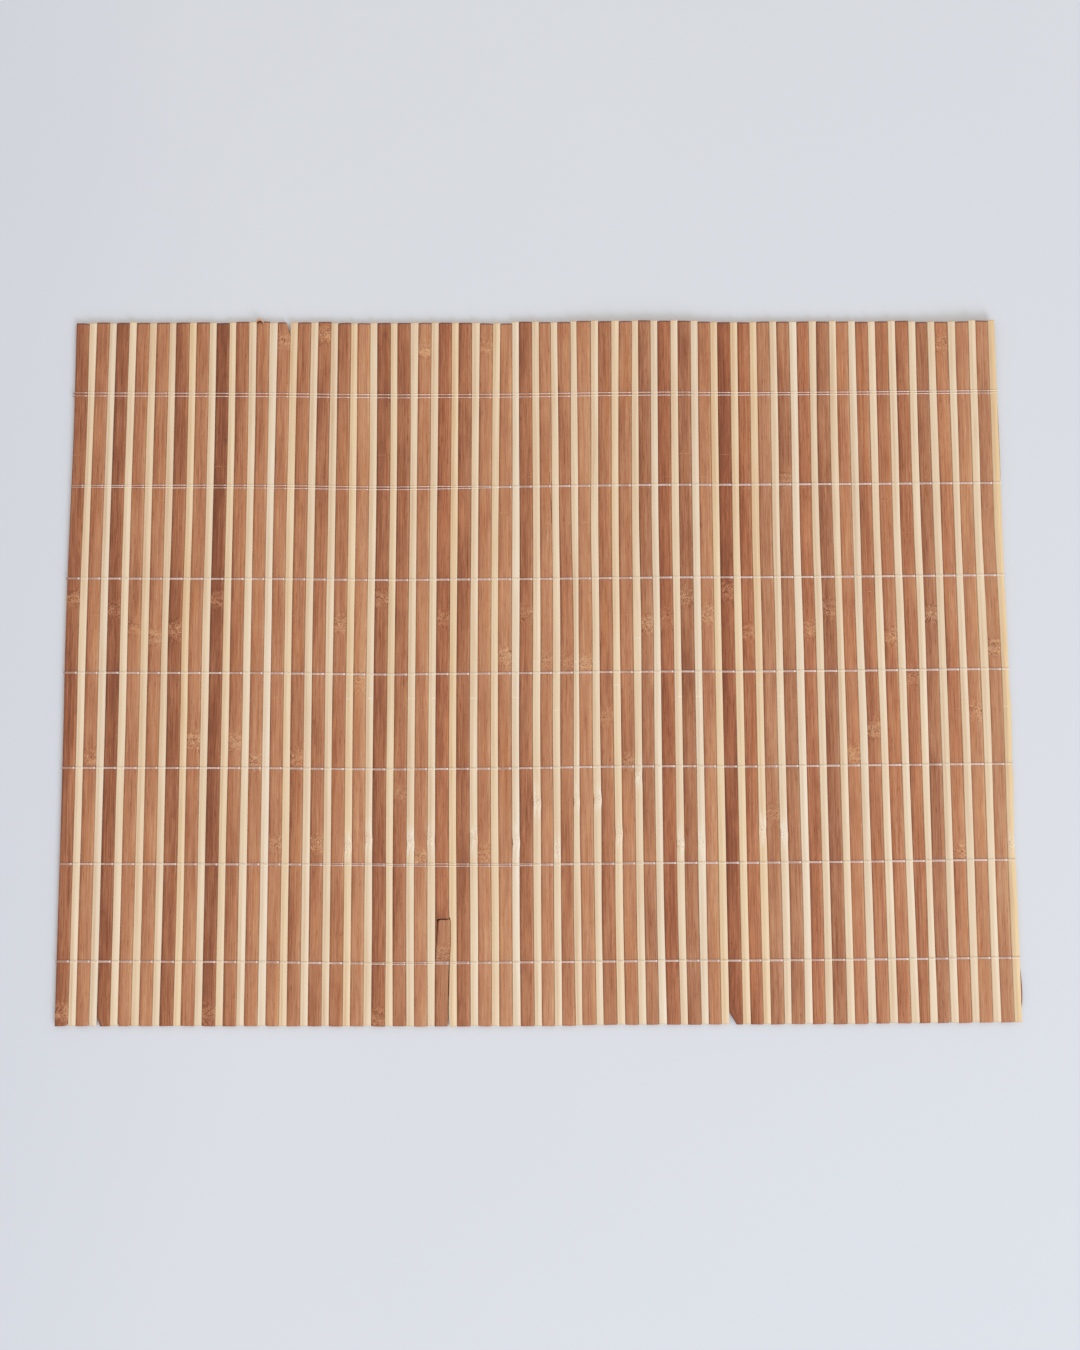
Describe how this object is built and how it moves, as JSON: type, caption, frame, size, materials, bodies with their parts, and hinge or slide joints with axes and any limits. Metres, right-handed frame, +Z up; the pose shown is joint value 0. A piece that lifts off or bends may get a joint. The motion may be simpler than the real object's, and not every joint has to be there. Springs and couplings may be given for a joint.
{
  "type": "slatted bamboo placemat",
  "caption": "Flat rectangular placemat of wide brown bamboo slats alternating with narrow pale splints, held side by side by cross rows of clear doubled thread.",
  "frame": {"origin": "the middle of the mat's footprint, on the surface that it lies on", "axes": "+X across the slats, along the mat's long side; +Y along the slats, towards the far edge of the picture; +Z up"},
  "size_m": [0.4014, 0.3014, 0.0033],
  "materials": {
    "brown_bamboo": "planed carbonised bamboo, unvarnished, with lengthwise fibres and a node or two on each slat",
    "pale_bamboo": "planed natural bamboo splint, smooth and faintly glossy",
    "nylon_thread": "clear nylon thread, slightly glossy"
  },
  "bodies": {
    "root": {"slat_field": "brown_bamboo", "thread_row_1": "nylon_thread", "thread_row_2": "nylon_thread", "thread_row_3": "nylon_thread", "thread_row_4": "nylon_thread", "thread_row_5": "nylon_thread", "thread_row_6": "nylon_thread", "thread_row_7": "nylon_thread"}
  },
  "joints": []
}
